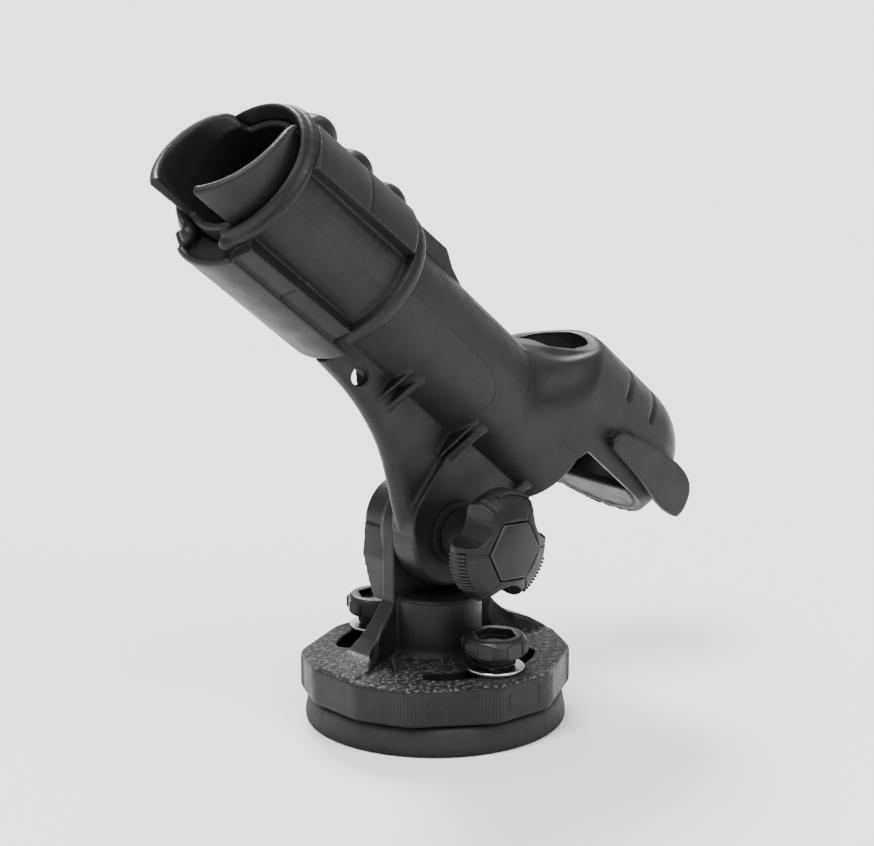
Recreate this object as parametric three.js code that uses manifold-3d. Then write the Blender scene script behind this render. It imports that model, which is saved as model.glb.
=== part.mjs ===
// Adjustable rod holder: a tube with a twist-lock collar, on a tilting arm, on a swivelling yoke.
// Millimetres, +Z up. The origin is the centre of the base disc's underside. The tube's mouth
// points towards -X and upwards, the tilt axis lies along Y, and the knob is on the -Y side.
import * as THREE from 'three';
import { mergeVertices } from 'three/addons/utils/BufferGeometryUtils.js';
import Module from 'manifold-3d';

// ---- Driving dimensions ----
const GAP = 0.3;                 // running clearance between neighbouring pieces

const DISC_RADIUS = 50.8;
const DISC_TOP_RADIUS = 49.4;
const DISC_HEIGHT = 11.5;
const SPIGOT_RADIUS = 11;        // centres the yoke on the disc
const SPIGOT_TOP = 21;
const DECK_HOLE_CIRCLE = 40;

const FLANGE_BOTTOM = 12;
const FLANGE_TOP = 27;
const FLANGE_CORNER_RADIUS = 52.8;
const FLANGE_CORNER_ANGLES = [14, 38, 76, 104, 142, 166, 194, 218, 256, 284, 322, 346];
const FLANGE_FAR_RADIUS = 48.6;    // the flange is a little shallower on its far side
const SLOT_RADIUS = 34.5;        // mean radius of the two arc slots in the flange
const SLOT_WIDTH = 9;
const SLOT_HALF_ANGLE = 42;
const COLUMN_RADIUS = 18;
const COLUMN_TOP = 51;

const STUD_RADIUS = 4;
const STUD_TOP = 35;
const NUT_HEAD_RADIUS = 12.7;
const NUT_HEAD_BOTTOM = 33.4;
const NUT_HEAD_TOP = 41;
const NUT_NECK_RADIUS = 7.4;
const WASHER_RADIUS = 11.4;
const WASHER_THICKNESS = 1.6;

const PIVOT_HEIGHT = 76.2;
const PIVOT_RADIUS = 21;         // the arm's round end
const EAR_RADIUS = 20;
const BOLT_RADIUS = 4;
const EAR_NEAR = 1.5;            // the ear's face against the arm
const EAR_FAR = 8;
const EAR_HEAD_FAR = 10;
const BOLT_BOSS_FAR = 23;
const BOLT_BOSS_RADIUS = 17;

const TUBE_TILT = 41;            // the tube's rise above the level, at rest
const TUBE_OFFSET = 52;          // from the pivot to the tube's axis
const TUBE_RADIUS = 24.8;
const BORE_RADIUS = 21.8;
const TUBE_REAR = -25;
const MOUTH_FLOOR = 163;         // bottom of the open notch on top of the mouth
const LIP_START = 172;           // where the rim begins again, beside the top notch
const NOTCH_FLAT_ANGLE = 38;     // the notch's floor is level up to here, then it rises to the lips
const NOTCH_HALF_ANGLE = 48;
const LIP_TIP = 187.3;           // the lips' furthest reach, low on each side
const LIP_FLARE_TOP = 3.2;       // how far the lips lean out, beside the top notch and at their tips
const LIP_FLARE_TIP = 1;
const LIP_THINNING = 2.6;        // the lips' inner face leans out this much more beside the top notch
const BOTTOM_SLOT_HALF_ANGLE = 29;
const BOTTOM_SLOT_FLOOR = 166;

const ARM_NEAR = -12;            // the arm's raised pad, on the knob's side
const WEB_NEAR = -9;
const ARM_FAR = 1;

const HOOD_RADIUS = 31;
const HOOD_RISE = 18;            // the hood's own axis above the tube's
const HOOD_REAR = -84;
const HOOD_WALL = 3.5;
const HOOD_FLOOR = 4;            // level, above the tube's axis, where the hood is cut open
const HOOD_END_LENGTH = 28;      // the rounded rear end
const LEDGE_FRONT = -58;
const SOCKET_RADIUS = 10.6;      // the upright socket in the hood's top
const SOCKET_RISE = 38.2;
const SOCKET_ALONG = -3;
const SOCKET_RIM_SLOPE = 0.83;
const TETHER_HOLE_RADIUS = 3.9;
const TETHER_HOLE_ALONG = 78;
const TETHER_HOLE_UP = -29.6;
const NECK_FRONT = 23.5;
const NECK_REAR = -17.6;
const WING_NEAR = 31.6;
const WING_FAR = 35;

const COLLAR_BORE = 25.2;
const COLLAR_REAR = 95;
const COLLAR_FRONT = 167.4;
const PANEL_RADIUS = 27.6;
const PAD_RADIUS = 33.2;
const PAD_DROP = 2;              // the pads sit this much lower at the collar's front than at its rear
const KNUCKLES = [149.5, 127.5, 106.5];   // the half-round grips on the collar's top, along the tube

const KNOB_RADIUS = 22;
const KNOB_HUB_RADIUS = 10;
const KNOB_BACK = 31;            // distances from the knob's origin, along its axis
const KNOB_FRONT = 46;
const KNOB_CAP_RADIUS = 12.4;

// ---- Materials ----
const nylonBlack = { color: 0x1d1e20, roughness: 0.55, metalness: 0 };
const nylonGrey = { color: 0x2b2c2e, roughness: 0.65, metalness: 0 };
const plasticBlack = { color: 0x141516, roughness: 0.4, metalness: 0 };
const stainless = { color: 0xb9bcc0, roughness: 0.28, metalness: 1 };
const brass = { color: 0xb08d4a, roughness: 0.35, metalness: 1 };

// ---- Helpers ----
const wasm = await Module();
wasm.setup();

const radians = THREE.MathUtils.degToRad;

/** A closed three.js geometry as a solid. */
function solid(geometry) {
  const bare = geometry.index ? geometry.toNonIndexed() : geometry.clone();
  bare.deleteAttribute('normal');
  bare.deleteAttribute('uv');
  const merged = mergeVertices(bare, 1e-4);
  return new wasm.Manifold(new wasm.Mesh({
    numProp: 3,
    vertProperties: new Float32Array(merged.attributes.position.array),
    triVerts: new Uint32Array(merged.index.array),
  }));
}

/** A solid back as a flat-shaded geometry. */
function geometryOf(body) {
  const mesh = body.getMesh();
  const geometry = new THREE.BufferGeometry();
  geometry.setAttribute('position', new THREE.BufferAttribute(new Float32Array(mesh.vertProperties), 3));
  geometry.setIndex(new THREE.BufferAttribute(new Uint32Array(mesh.triVerts), 1));
  geometry.computeVertexNormals();
  return geometry;
}

/** A copy of a solid, turned by Euler angles in degrees and then moved. */
function moved(body, position, turn = [0, 0, 0]) {
  const rotation = new THREE.Quaternion().setFromEuler(new THREE.Euler(...turn.map(radians)));
  const matrix = new THREE.Matrix4().compose(new THREE.Vector3(...position),
    rotation, new THREE.Vector3(1, 1, 1));
  const mesh = body.getMesh();
  const points = new THREE.BufferAttribute(new Float32Array(mesh.vertProperties), 3);
  points.applyMatrix4(matrix);
  return new wasm.Manifold(new wasm.Mesh({
    numProp: 3,
    vertProperties: points.array,
    triVerts: new Uint32Array(mesh.triVerts),
  }));
}

function join(...bodies) {
  return bodies.reduce((sum, body) => sum.add(body));
}

function cut(body, ...tools) {
  return tools.reduce((rest, tool) => rest.subtract(tool), body);
}

/** A solid cylinder or cone about Z, from z0 to z1. */
function roundBar(radius, z0, z1, { x = 0, y = 0, top = radius, sides = 32, turn = 0 } = {}) {
  const geometry = new THREE.CylinderGeometry(top, radius, z1 - z0, sides);
  geometry.rotateX(Math.PI / 2);
  geometry.rotateZ(radians(turn));
  geometry.translate(x, y, (z0 + z1) / 2);
  return solid(geometry);
}

/** A solid of revolution about Z. The profile holds [radius, z] pairs, from the axis to the axis. */
function turned(profile, sides = 40) {
  const points = profile.map(([r, z]) => new THREE.Vector2(r, z));
  const geometry = new THREE.LatheGeometry(points, sides);
  geometry.rotateX(Math.PI / 2);
  return solid(geometry);
}

/** A ring about Z: its section is the closed list of [radius, z] pairs. */
function ring(section, sides = 36) {
  return turned([...section, section[0]], sides);
}

function block([x0, y0, z0], [x1, y1, z1]) {
  const geometry = new THREE.BoxGeometry(x1 - x0, y1 - y0, z1 - z0);
  geometry.translate((x0 + x1) / 2, (y0 + y1) / 2, (z0 + z1) / 2);
  return solid(geometry);
}

/** A plate between y0 and y1 whose outline is a shape in X and Z. */
function plate(shape, y0, y1, curveSegments = 10) {
  const geometry = new THREE.ExtrudeGeometry(shape, { depth: y1 - y0, bevelEnabled: false, curveSegments });
  geometry.rotateX(Math.PI / 2);
  geometry.translate(0, y1, 0);
  return solid(geometry);
}

/** A solid through a row of closed rings of points, each with as many points as the last. */
function loft(rings) {
  const sides = rings[0].length;
  const points = rings.flat();
  const faces = [];
  for (let row = 0; row + 1 < rings.length; row += 1) {
    for (let side = 0; side < sides; side += 1) {
      const next = (side + 1) % sides;
      const a = row * sides + side;
      const b = row * sides + next;
      faces.push(a, b, a + sides, b, b + sides, a + sides);
    }
  }
  const centre = (row) => row.reduce((sum, p) => sum.clone().add(p)).divideScalar(row.length);
  const first = points.length;
  points.push(centre(rings[0]));
  points.push(centre(rings[rings.length - 1]));
  const last = (rings.length - 1) * sides;
  for (let side = 0; side < sides; side += 1) {
    const next = (side + 1) % sides;
    faces.push(first, next, side);
    faces.push(first + 1, last + side, last + next);
  }
  const geometry = new THREE.BufferGeometry().setFromPoints(points);
  geometry.setIndex(faces);
  const body = solid(geometry);
  return body.volume() > 0 ? body : solid(geometry.setIndex([...faces].reverse()));
}

const smoothStep = (t) => THREE.MathUtils.smoothstep(t, 0, 1);

const assembly = new THREE.Group();

/** Adds one named piece to a group. */
function addPart(parent, name, body, look) {
  const mesh = new THREE.Mesh(geometryOf(body), new THREE.MeshStandardMaterial(look));
  mesh.name = name;
  parent.add(mesh);
}

// ---- Base disc, with its threaded inserts and studs ----
function baseDisc() {
  let body = turned([
    [0, 0], [DISC_RADIUS - 0.6, 0], [DISC_RADIUS, 0.8], [DISC_RADIUS, 3],
    [DISC_TOP_RADIUS, DISC_HEIGHT - 1.5],
    [DISC_TOP_RADIUS - 1.4, DISC_HEIGHT], [SPIGOT_RADIUS, DISC_HEIGHT], [SPIGOT_RADIUS, SPIGOT_TOP - 1],
    [SPIGOT_RADIUS - 1, SPIGOT_TOP], [0, SPIGOT_TOP],
  ], 54);
  for (const side of [-1, 1]) {
    body = cut(body, roundBar(6.3 + GAP, 2, DISC_HEIGHT + 1, { y: side * SLOT_RADIUS, sides: 24 }));
  }
  for (let corner = 0; corner < 4; corner += 1) {
    const angle = radians(45 + 90 * corner);
    const x = DECK_HOLE_CIRCLE * Math.cos(angle);
    const y = DECK_HOLE_CIRCLE * Math.sin(angle);
    const hole = roundBar(2.6, -1, DISC_HEIGHT + 1, { x, y, sides: 16 });
    const countersink = roundBar(2.6, DISC_HEIGHT - 2.9, DISC_HEIGHT + 0.1, { x, y, top: 5.3, sides: 16 });
    body = cut(body, hole, countersink);
  }
  return body;
}

function studInsert(y) {
  const body = roundBar(6.3, 2 + GAP, DISC_HEIGHT - 0.1, { y, sides: 24 });
  return cut(body, roundBar(STUD_RADIUS + GAP, 4, DISC_HEIGHT + 1, { y, sides: 20 }));
}

addPart(assembly, 'base_disc', baseDisc(), nylonGrey);
for (const [side, y] of [['near', -SLOT_RADIUS], ['far', SLOT_RADIUS]]) {
  addPart(assembly, `stud_insert_${side}`, studInsert(y), brass);
  const stud = roundBar(STUD_RADIUS, 4 + GAP, STUD_TOP, { y, sides: 20 });
  addPart(assembly, `stud_${side}`, stud, stainless);
}

// A thin bearing ring keeps the flange off the disc.
const swivelRing = ring([[14, DISC_HEIGHT + GAP / 3], [28, DISC_HEIGHT + GAP / 3],
  [28, FLANGE_BOTTOM + 0.9],
  [14, FLANGE_BOTTOM + 0.9]], 40);
addPart(assembly, 'swivel_ring', swivelRing, plasticBlack);

// ---- Thumb nuts, their washers and inserts ----
function thumbNut(y) {
  const flats = 6;
  const corner = NUT_HEAD_RADIUS;
  const head = roundBar(corner + 0.9, NUT_HEAD_BOTTOM, NUT_HEAD_TOP, { sides: flats, turn: 30 });
  const limit = turned([
    [0, NUT_HEAD_BOTTOM - 1], [corner - 1.2, NUT_HEAD_BOTTOM - 1], [corner - 1.2, NUT_HEAD_BOTTOM],
    [corner, NUT_HEAD_BOTTOM + 1.5], [corner, NUT_HEAD_TOP - 2], [corner - 2, NUT_HEAD_TOP],
    [0, NUT_HEAD_TOP],
  ], 36);
  const neck = turned([
    [0, FLANGE_TOP + WASHER_THICKNESS + 0.6], [NUT_NECK_RADIUS, FLANGE_TOP + WASHER_THICKNESS + 0.6],
    [NUT_NECK_RADIUS, NUT_HEAD_BOTTOM + 1], [0, NUT_HEAD_BOTTOM + 1],
  ], 28);
  const recess = roundBar(8.4, NUT_HEAD_TOP - 3.2, NUT_HEAD_TOP + 1, { sides: 6, turn: 30 });
  const pocket = roundBar(6 + GAP, FLANGE_TOP, NUT_HEAD_TOP - 4.4, { sides: 6, turn: 30 });
  return moved(cut(join(head.intersect(limit), neck), recess, pocket), [0, y, 0]);
}

function nutInsert(y) {
  const bottom = FLANGE_TOP + WASHER_THICKNESS + 0.9;
  const body = roundBar(6, bottom, NUT_HEAD_TOP - 4.4 - GAP, { sides: 6, turn: 30 });
  const bore = roundBar(STUD_RADIUS + GAP, bottom - 1, STUD_TOP + GAP, { sides: 20 });
  return moved(cut(body, bore), [0, y, 0]);
}

function washer(y) {
  const z0 = FLANGE_TOP + GAP / 2;
  const z1 = z0 + WASHER_THICKNESS;
  const inner = STUD_RADIUS + GAP;
  const rim = WASHER_RADIUS;
  const body = ring([[inner, z0], [rim - 0.4, z0], [rim, z0 + 0.4], [rim, z1 - 0.4],
    [rim - 0.4, z1], [inner, z1]]);
  return moved(body, [0, y, 0]);
}

for (const [side, y] of [['near', -SLOT_RADIUS], ['far', SLOT_RADIUS]]) {
  addPart(assembly, `washer_${side}`, washer(y), stainless);
  addPart(assembly, `thumb_nut_${side}`, thumbNut(y), plasticBlack);
  addPart(assembly, `nut_insert_${side}`, nutInsert(y), brass);
}

// ---- Swivel yoke: flange, column, ear and skirts ----
function flange() {
  const shape = new THREE.Shape();
  const count = FLANGE_CORNER_ANGLES.length;
  const corner = (index) => {
    const angle = radians(FLANGE_CORNER_ANGLES[(index + count) % count]);
    const radius = Math.sin(angle) > 0.9 ? FLANGE_FAR_RADIUS : FLANGE_CORNER_RADIUS;
    return new THREE.Vector2(Math.cos(angle), Math.sin(angle)).multiplyScalar(radius);
  };
  for (let index = 0; index < count; index += 1) {
    const here = corner(index);
    const before = here.clone().lerp(corner(index - 1), 0.1);
    const after = here.clone().lerp(corner(index + 1), 0.1);
    if (index === 0) shape.moveTo(before.x, before.y);
    else shape.lineTo(before.x, before.y);
    shape.quadraticCurveTo(here.x, here.y, after.x, after.y);
  }
  const edge = 1.2;
  const geometry = new THREE.ExtrudeGeometry(shape, {
    depth: FLANGE_TOP - FLANGE_BOTTOM - 2 * edge,
    bevelSize: edge,
    bevelOffset: -edge,
    bevelThickness: edge,
    bevelSegments: 2,
    curveSegments: 3,
  });
  geometry.translate(0, 0, FLANGE_BOTTOM + edge);
  return solid(geometry);
}

function arcSlot(middle) {
  const shape = new THREE.Shape();
  const from = radians(middle - SLOT_HALF_ANGLE);
  const to = radians(middle + SLOT_HALF_ANGLE);
  const half = SLOT_WIDTH / 2;
  shape.absarc(0, 0, SLOT_RADIUS + half, from, to, false);
  shape.absarc(SLOT_RADIUS * Math.cos(to), SLOT_RADIUS * Math.sin(to), half, to, to + Math.PI, false);
  shape.absarc(0, 0, SLOT_RADIUS - half, to, from, true);
  shape.absarc(SLOT_RADIUS * Math.cos(from), SLOT_RADIUS * Math.sin(from),
    half, from + Math.PI, from + 2 * Math.PI);
  const geometry = new THREE.ExtrudeGeometry(shape, {
    depth: FLANGE_TOP - FLANGE_BOTTOM + 4, bevelEnabled: false, curveSegments: 10,
  });
  geometry.translate(0, 0, FLANGE_BOTTOM - 2);
  return solid(geometry);
}

/** The ear: a plate with a round head about the pivot and straight sides down to the flange. */
function ear() {
  const shape = new THREE.Shape();
  shape.moveTo(-EAR_RADIUS, FLANGE_TOP - 2);
  shape.lineTo(EAR_RADIUS, FLANGE_TOP - 2);
  shape.lineTo(EAR_RADIUS, PIVOT_HEIGHT);
  shape.absarc(0, PIVOT_HEIGHT, EAR_RADIUS, 0, Math.PI, false);
  shape.closePath();
  const sheet = plate(shape, EAR_NEAR, EAR_FAR, 14);
  const head = roundBar(EAR_RADIUS - 0.4, 0.2, EAR_HEAD_FAR - EAR_NEAR, { sides: 40 });
  const boss = roundBar(BOLT_BOSS_RADIUS, 0.4, BOLT_BOSS_FAR - EAR_NEAR, { sides: 36,
    top: BOLT_BOSS_RADIUS - 1 });
  const turnedUp = (body) => moved(body, [0, EAR_NEAR, PIVOT_HEIGHT], [-90, 0, 0]);
  return join(sheet, turnedUp(head), turnedUp(boss));
}

/** The tapered rib under the bolt boss, on the ear's far side. */
function bossRib() {
  const station = (z, half, far) => [
    new THREE.Vector3(-half, EAR_NEAR + 2, z), new THREE.Vector3(half, EAR_NEAR + 2, z),
    new THREE.Vector3(half - 0.6, far, z), new THREE.Vector3(-half + 0.6, far, z),
  ];
  return loft([
    station(46, 15.8, 19.4), station(53, 17.4, 20.6), station(64, 19, 22),
    station(PIVOT_HEIGHT, 17.4, 22.6),
  ]);
}

/** One concave skirt, from the ear's side edge out to the flange's rim. side is -1 or 1. */
function skirt(side) {
  const tops = side < 0
    ? [[15, 58], [20, 49], [25, 41.2], [30, 35.6], [35.5, 31.4], [41, 29], [50.4, 27.6]]
    : [[15, 58.5], [20, 51.5], [24.5, 46.4], [29, 41.8], [36.6, 34.3], [44, 31.6], [50, 27.8]];
  const last = tops.length - 1;
  return loft(tops.map(([x, top], step) => {
    const t = step / last;
    const near = EAR_NEAR - 11 * smoothStep((t - 0.3) / 0.7);
    const far = EAR_FAR + 3.5 * t;
    const at = (y, z) => new THREE.Vector3(side * x, y, z);
    return [
      at(near - 2.5 * t, FLANGE_TOP - 2), at(far + 1, FLANGE_TOP - 2), at(far, top), at(near + 1.2, top),
      at(near, top - Math.min(1.2, (top - FLANGE_TOP) / 2)),
    ];
  }));
}

/** The dished hollow between a skirt and the column. */
function skirtHollow(side) {
  const geometry = new THREE.SphereGeometry(1, 16, 10);
  geometry.scale(8.5, 10, 11);
  geometry.translate(side * 31, -9.5, FLANGE_TOP + 9.5);
  return solid(geometry);
}

function swivelYoke() {
  const column = turned([
    [0, FLANGE_TOP - 2], [COLUMN_RADIUS + 3.5, FLANGE_TOP - 2], [COLUMN_RADIUS + 3.5, FLANGE_TOP],
    [COLUMN_RADIUS + 1.2, FLANGE_TOP + 1.2], [COLUMN_RADIUS, FLANGE_TOP + 3.8],
    [COLUMN_RADIUS, COLUMN_TOP - 1.2],
    [COLUMN_RADIUS - 1.2, COLUMN_TOP], [0, COLUMN_TOP],
  ], 40);
  const skirts = [-1, 1].map((side) => skirt(side).subtract(skirtHollow(side)));
  const socket = roundBar(SPIGOT_RADIUS + GAP, FLANGE_BOTTOM - 1, SPIGOT_TOP + 1, { sides: 32 });
  const ringSeat = roundBar(28 + GAP, FLANGE_BOTTOM - 1, FLANGE_BOTTOM + 0.9 + GAP, { sides: 32 });
  const boltHole = roundBar(BOLT_RADIUS + GAP, EAR_NEAR - 1, BOLT_BOSS_FAR + 1, { sides: 20 });
  const headSeat = roundBar(8.1, BOLT_BOSS_FAR - 6.5, BOLT_BOSS_FAR + 1, { sides: 6, turn: 30 });
  const along = (body) => moved(body, [0, 0, PIVOT_HEIGHT], [-90, 0, 0]);
  return cut(
    join(flange(), column, ear(), bossRib(), ...skirts),
    arcSlot(90), arcSlot(270), socket, ringSeat, along(boltHole), along(headSeat),
  );
}

addPart(assembly, 'swivel_yoke', swivelYoke(), nylonBlack);

// ---- Pivot bolt, on the far side of the ear, through the arm and into the knob ----
const pivot = new THREE.Group();
pivot.position.set(0, 0, PIVOT_HEIGHT);
pivot.rotation.x = Math.PI / 2;     // the group's +Z is the part's -Y
assembly.add(pivot);

const boltHeadSeat = -(BOLT_BOSS_FAR - 6.5);
const pivotBolt = join(
  roundBar(7.5, boltHeadSeat - 5.6, boltHeadSeat - 1.6 - GAP, { sides: 6, turn: 30 }),
  roundBar(BOLT_RADIUS, boltHeadSeat - 3, KNOB_BACK + 3, { sides: 24 }),
);
addPart(pivot, 'pivot_bolt', pivotBolt, stainless);

const boltWasher = ring([[BOLT_RADIUS + GAP, boltHeadSeat - 1.6], [6.6, boltHeadSeat - 1.6],
  [6.6, boltHeadSeat - 0.2], [BOLT_RADIUS + GAP, boltHeadSeat - 0.2]], 24);
addPart(pivot, 'bolt_washer', boltWasher, stainless);

const armWasher = ring([[BOLT_RADIUS + GAP, -ARM_NEAR + GAP], [12.2, -ARM_NEAR + GAP],
  [12.2, -ARM_NEAR + GAP + 1.4], [BOLT_RADIUS + GAP, -ARM_NEAR + GAP + 1.4]], 36);
addPart(pivot, 'arm_washer', armWasher, plasticBlack);

// ---- Knob: tri-lobe body, brass insert and hexagonal cap ----
function knobBody() {
  const hubBack = -ARM_NEAR + GAP + 1.4 + GAP;
  let body = turned([
    [0, hubBack], [KNOB_HUB_RADIUS - 0.6, hubBack], [KNOB_HUB_RADIUS, hubBack + 0.6],
    [KNOB_HUB_RADIUS, KNOB_BACK],
    [KNOB_RADIUS - 4, KNOB_BACK], [KNOB_RADIUS - 1.4, KNOB_BACK + 0.8],
    [KNOB_RADIUS - 0.3, KNOB_BACK + 2.6],
    [KNOB_RADIUS, KNOB_BACK + 5], [KNOB_RADIUS - 0.2, KNOB_FRONT - 8.5],
    [KNOB_RADIUS - 1.4, KNOB_FRONT - 5.8],
    [KNOB_RADIUS - 4.2, KNOB_FRONT - 3], [KNOB_CAP_RADIUS, KNOB_FRONT - 0.8], [0, KNOB_FRONT - 0.8],
  ], 42);
  for (const angle of [26, 146, 266]) {
    const scallop = moved(roundBar(9.4, -16, 16, { sides: 24, top: 11 }), [KNOB_RADIUS + 3, 0, 39],
      [0, -8, 0]);
    body = cut(body, moved(scallop, [0, 0, 0], [0, 0, angle]));
  }
  const capSeat = roundBar(KNOB_CAP_RADIUS + 0.35, KNOB_FRONT - 3.2, KNOB_FRONT + 1, { sides: 6,
    turn: 86 });
  const insertSeat = roundBar(6.8, hubBack - 1, KNOB_BACK + 5, { sides: 6 });
  return cut(body, capSeat, insertSeat);
}

function knobInsert() {
  const body = roundBar(6.4, -ARM_NEAR + 3, KNOB_BACK + 5 - GAP, { sides: 6 });
  return cut(body, roundBar(BOLT_RADIUS + GAP, -ARM_NEAR, KNOB_BACK + 3 + GAP, { sides: 20 }));
}

function knobCap() {
  const top = KNOB_FRONT;
  return join(
    roundBar(KNOB_CAP_RADIUS, KNOB_FRONT - 2.9, top - 0.6, { sides: 6, turn: 86 }),
    roundBar(KNOB_CAP_RADIUS, top - 0.6, top, { sides: 6, turn: 86, top: KNOB_CAP_RADIUS - 0.7 }),
  );
}

addPart(pivot, 'knob_body', knobBody(), nylonBlack);
addPart(pivot, 'knob_insert', knobInsert(), brass);
addPart(pivot, 'knob_cap', knobCap(), plasticBlack);

// ---- Rod tube: local X rises from the tube's axis, local Z runs along it to the mouth ----
const tube = new THREE.Group();
tube.rotation.y = -radians(90 - TUBE_TILT);
tube.position.set(
  TUBE_OFFSET * Math.sin(radians(TUBE_TILT)), 0, PIVOT_HEIGHT + TUBE_OFFSET * Math.cos(radians(TUBE_TILT)),
);
assembly.add(tube);

/** How far round a lip an angle is: 0 beside the top notch, 1 at the lip's tip. */
function lipShare(angle) {
  const span = 180 - BOTTOM_SLOT_HALF_ANGLE - NOTCH_HALF_ANGLE;
  return THREE.MathUtils.clamp((Math.abs(angle) - NOTCH_HALF_ANGLE) / span, 0, 1);
}

/** How far the mouth's rim reaches along the tube, at an angle from the top in degrees. */
function mouthRim(angle) {
  const fromTop = Math.abs(angle);
  if (fromTop >= 180 - BOTTOM_SLOT_HALF_ANGLE) return BOTTOM_SLOT_FLOOR;
  if (fromTop < NOTCH_HALF_ANGLE) {
    const share = Math.max(0, fromTop - NOTCH_FLAT_ANGLE) / (NOTCH_HALF_ANGLE - NOTCH_FLAT_ANGLE);
    return THREE.MathUtils.lerp(MOUTH_FLOOR, LIP_START, share ** 0.42);
  }
  return THREE.MathUtils.lerp(LIP_START, LIP_TIP, lipShare(angle) ** 0.72);
}

/** The plain tube, with its shaped mouth, as one wall around the bore. */
function tubeWall() {
  const angles = [];
  const edge = 180 - BOTTOM_SLOT_HALF_ANGLE;
  for (let angle = -180; angle < 180; angle += 6) {
    if (Math.abs(Math.abs(angle) - edge) > 2) angles.push(angle);
  }
  angles.push(edge - 0.5, edge + 0.5, -edge - 0.5, -edge + 0.5);
  for (const angle of [38.3, 39, 40, 44.5, 46.5]) angles.push(angle, -angle);
  angles.sort((a, b) => a - b);
  const section = (angle) => {
    const at = (radius, along) => new THREE.Vector3(
      radius * Math.cos(radians(angle)), radius * Math.sin(radians(angle)), along,
    );
    const rim = mouthRim(angle);
    const lean = smoothStep((rim - COLLAR_FRONT) / 2.4);
    const leanStart = Math.min(COLLAR_FRONT, rim - 2.2);
    const flare = lean * THREE.MathUtils.lerp(LIP_FLARE_TOP, LIP_FLARE_TIP, lipShare(angle));
    const inside = lean * LIP_THINNING * (1 - lipShare(angle));
    return [
      at(BORE_RADIUS, TUBE_REAR), at(TUBE_RADIUS - 0.6, TUBE_REAR), at(TUBE_RADIUS, TUBE_REAR + 0.6),
      at(TUBE_RADIUS, leanStart), at(TUBE_RADIUS + flare, rim - 1),
      at(TUBE_RADIUS + flare - 0.8, rim), at(BORE_RADIUS + inside + 0.8, rim),
      at(BORE_RADIUS + inside, rim - 1),
      at(BORE_RADIUS, leanStart),
    ];
  };
  const rows = angles.map(section);
  const sides = rows[0].length;
  const faces = [];
  for (let row = 0; row < rows.length; row += 1) {
    const nextRow = (row + 1) % rows.length;
    for (let side = 0; side < sides; side += 1) {
      const next = (side + 1) % sides;
      const a = row * sides + side;
      const b = row * sides + next;
      const c = nextRow * sides + side;
      const d = nextRow * sides + next;
      faces.push(a, c, b, b, c, d);
    }
  }
  const geometry = new THREE.BufferGeometry().setFromPoints(rows.flat());
  geometry.setIndex(faces);
  const body = solid(geometry);
  return body.volume() > 0 ? body : solid(geometry.setIndex([...faces].reverse()));
}

/** The hood's outer or inner skin: round sections that rise off the tube and close at the rear. */
function hoodSkin(inset, front, rear) {
  const stations = 18;
  const endLength = HOOD_END_LENGTH - inset;
  const rings = [];
  for (let step = 0; step <= stations; step += 1) {
    const along = THREE.MathUtils.lerp(front, rear + 0.15, 1 - (1 - step / stations) ** 1.35);
    const rise = smoothStep((18 - along) / 27);
    const intoEnd = Math.max(0, (rear + endLength - along) / endLength);
    const full = THREE.MathUtils.lerp(TUBE_RADIUS - GAP, HOOD_RADIUS, rise) - inset;
    const radius = full * Math.sqrt(1 - intoEnd ** 2.2);
    const row = [];
    const sides = 40;
    for (let side = 0; side < sides; side += 1) {
      const angle = 2 * Math.PI * side / sides;
      row.push(new THREE.Vector3(HOOD_RISE * rise + radius * Math.cos(angle),
        radius * Math.sin(angle), along));
    }
    rings.push(row);
  }
  return loft(rings);
}

/** A bar square to the socket's rim plane, at the rear hood's upright socket. */
function socketBar(radius, from, to, sides = 32) {
  const rimTilt = Math.atan2(1, SOCKET_RIM_SLOPE) * 180 / Math.PI;
  return moved(roundBar(radius, from, to, { sides }), [SOCKET_RISE, 0, SOCKET_ALONG], [0, rimTilt, 0]);
}

function hood() {
  const outer = hoodSkin(0, 19, HOOD_REAR);
  const aboveRim = moved(block([-60, -60, 0], [60, 60, 80]), [SOCKET_RISE, 0, SOCKET_ALONG],
    [0, Math.atan2(1, SOCKET_RIM_SLOPE) * 180 / Math.PI, 0]);
  const below = block([-60, -60, HOOD_REAR - 5], [HOOD_FLOOR, 60, TUBE_REAR]);
  return cut(outer, aboveRim, below);
}

/** The room inside the hood, above its rear ledge. */
function hoodRoom() {
  const ledge = block([-60, -60, HOOD_REAR - 5], [HOOD_FLOOR + HOOD_WALL, 60, LEDGE_FRONT]);
  return cut(hoodSkin(HOOD_WALL, 5, HOOD_REAR + HOOD_WALL), ledge);
}

/** A finger wing, held off the hood's side by a boss at its front end and a small tab. */
function wing(side) {
  const outline = new THREE.Shape();
  outline.moveTo(9.2, -30);
  outline.quadraticCurveTo(9, -27.5, 12, -27.5);
  outline.quadraticCurveTo(16.5, -27.8, 17.3, -31);
  outline.quadraticCurveTo(22.6, -50, 23.4, -64);
  outline.quadraticCurveTo(23.6, -75.4, 18, -78.6);
  outline.quadraticCurveTo(11, -81.6, 6.6, -79);
  outline.quadraticCurveTo(4.8, -75, 5.4, -66);
  outline.quadraticCurveTo(7.6, -56, 8.2, -46);
  outline.closePath();
  const reach = side > 0 ? [WING_NEAR, WING_FAR] : [-WING_FAR, -WING_NEAR];
  const sheet = plate(outline, ...reach, 6);
  const inner = 27 * side;
  const outerFace = (WING_NEAR + 1) * side;
  const [y0, y1] = [Math.min(inner, outerFace), Math.max(inner, outerFace)];
  const boss = block([10, y0, -35], [16, y1, -28.5]);
  const tab = block([17.5, y0, -39.5], [20.5, y1, -37]);
  return join(sheet, boss, tab);
}

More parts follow.
